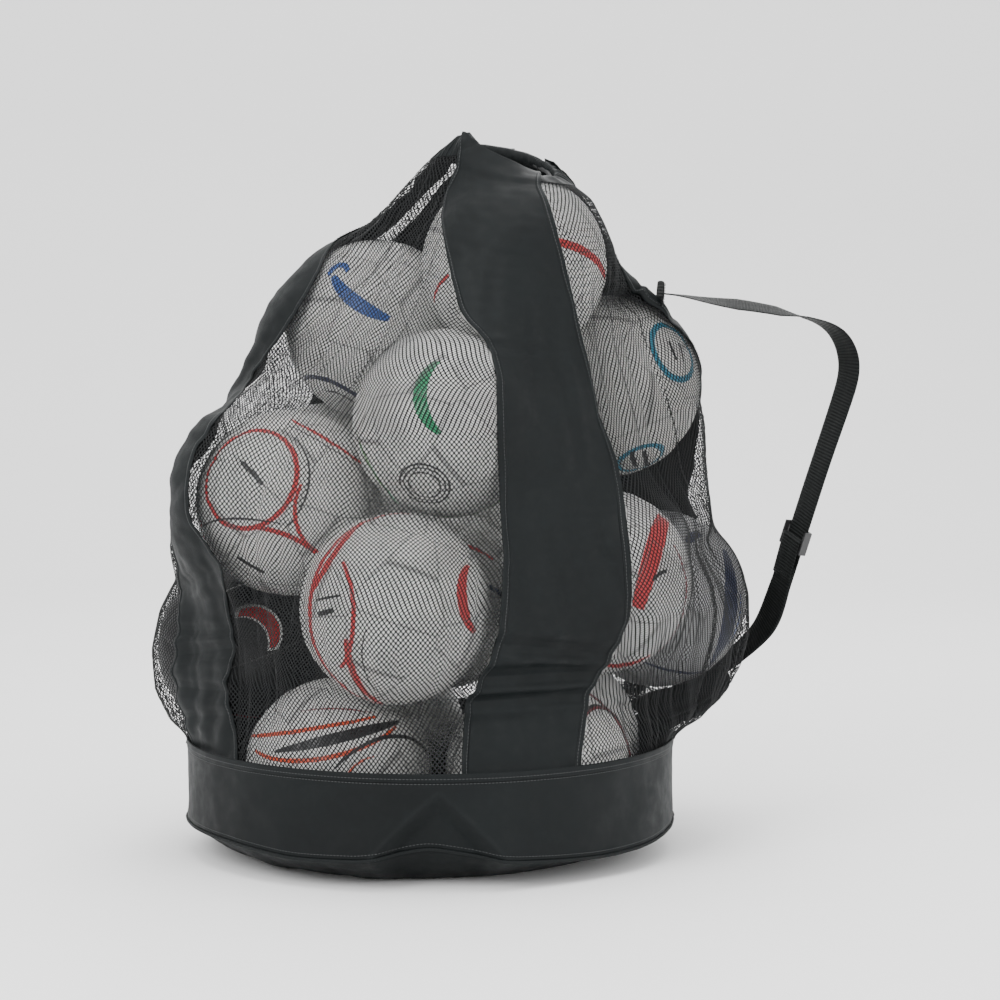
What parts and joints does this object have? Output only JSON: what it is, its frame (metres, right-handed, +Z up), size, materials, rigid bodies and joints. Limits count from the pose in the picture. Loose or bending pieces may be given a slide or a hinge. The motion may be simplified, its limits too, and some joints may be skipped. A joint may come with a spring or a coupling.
{
  "type": "mesh ball bag",
  "caption": "Large black mesh carry sack with solid fabric strips, a stiff round base and a webbing shoulder strap, packed full of footballs.",
  "frame": {"origin": "centre of the flat face the bag stands on", "axes": "+Z up from the floor, +X across the front towards the shoulder strap, -Y out of the front"},
  "size_m": [0.864, 0.6683, 0.8517],
  "materials": {
    "coated_fabric": "matt coated weave",
    "net": "knitted net",
    "tape": "matt",
    "webbing": "ribbed weave",
    "cord": "braided",
    "black_plastic": "fine texture",
    "steel": "satin",
    "ball_cover_white": "soft sheen",
    "ball_cover_black": "soft sheen",
    "bladder": "matt",
    "valve": "matt"
  },
  "bodies": {
    "bag": {"base_floor": "coated_fabric", "base_band": "coated_fabric", "base_piping": "tape", "band_tape": "tape", "panel_left": "coated_fabric", "panel_front": "coated_fabric", "panel_right": "coated_fabric", "panel_back": "coated_fabric", "net_left_front": "net", "net_front_right": "net", "net_right_back": "net", "net_back_left": "net", "panel_bindings": "tape", "mouth_hem": "coated_fabric", "eyelets": "steel", "drawcord": "cord", "cord_tips": "black_plastic", "strap_patch": "tape", "strap_tab": "tape", "ball_01": "ball_cover_white", "ball_02": "ball_cover_white", "ball_03": "ball_cover_white", "ball_04": "ball_cover_white", "ball_05": "ball_cover_white", "ball_06": "ball_cover_black", "ball_07": "ball_cover_white", "ball_08": "ball_cover_white", "ball_09": "ball_cover_white", "ball_10": "ball_cover_white", "ball_11": "ball_cover_white", "ball_12": "ball_cover_white", "ball_13": "ball_cover_white", "ball_14": "ball_cover_white", "ball_15": "ball_cover_white", "ball_16": "ball_cover_white", "ball_bladders": "bladder", "ball_valves": "valve"},
    "strap": {"strap_webbing": "webbing", "strap_ring": "steel"},
    "slider": {"strap_slider": "black_plastic", "strap_end_loop": "webbing"},
    "cord_lock": {"cord_lock_body": "black_plastic", "cord_lock_spring": "steel"},
    "lock_button": {"cord_lock_button": "black_plastic"}
  },
  "joints": [
    {"name": "strap_swing", "type": "hinge", "parent": "bag", "child": "strap", "pos_m": [0.26061, 0.16285, 0.12888], "axis": [0.0413, -0.2058, 0.9777], "range_deg": [-4, 22]},
    {"name": "slider_slide", "type": "slide", "parent": "strap", "child": "slider", "axis": [0.2705, -0.2004, 0.9416], "range_m": [-0.012, 0.012]},
    {"name": "lock_slide", "type": "slide", "parent": "bag", "child": "cord_lock", "axis": [0, 1, 0], "range_m": [-0.008, 0.012]},
    {"name": "button_press", "type": "slide", "parent": "cord_lock", "child": "lock_button", "axis": [0, 0, -1], "range_m": [0, 0.003], "stiffness_N_per_m": 900, "springref_m": -0.001, "deforming": ["cord_lock_spring"]}
  ]
}
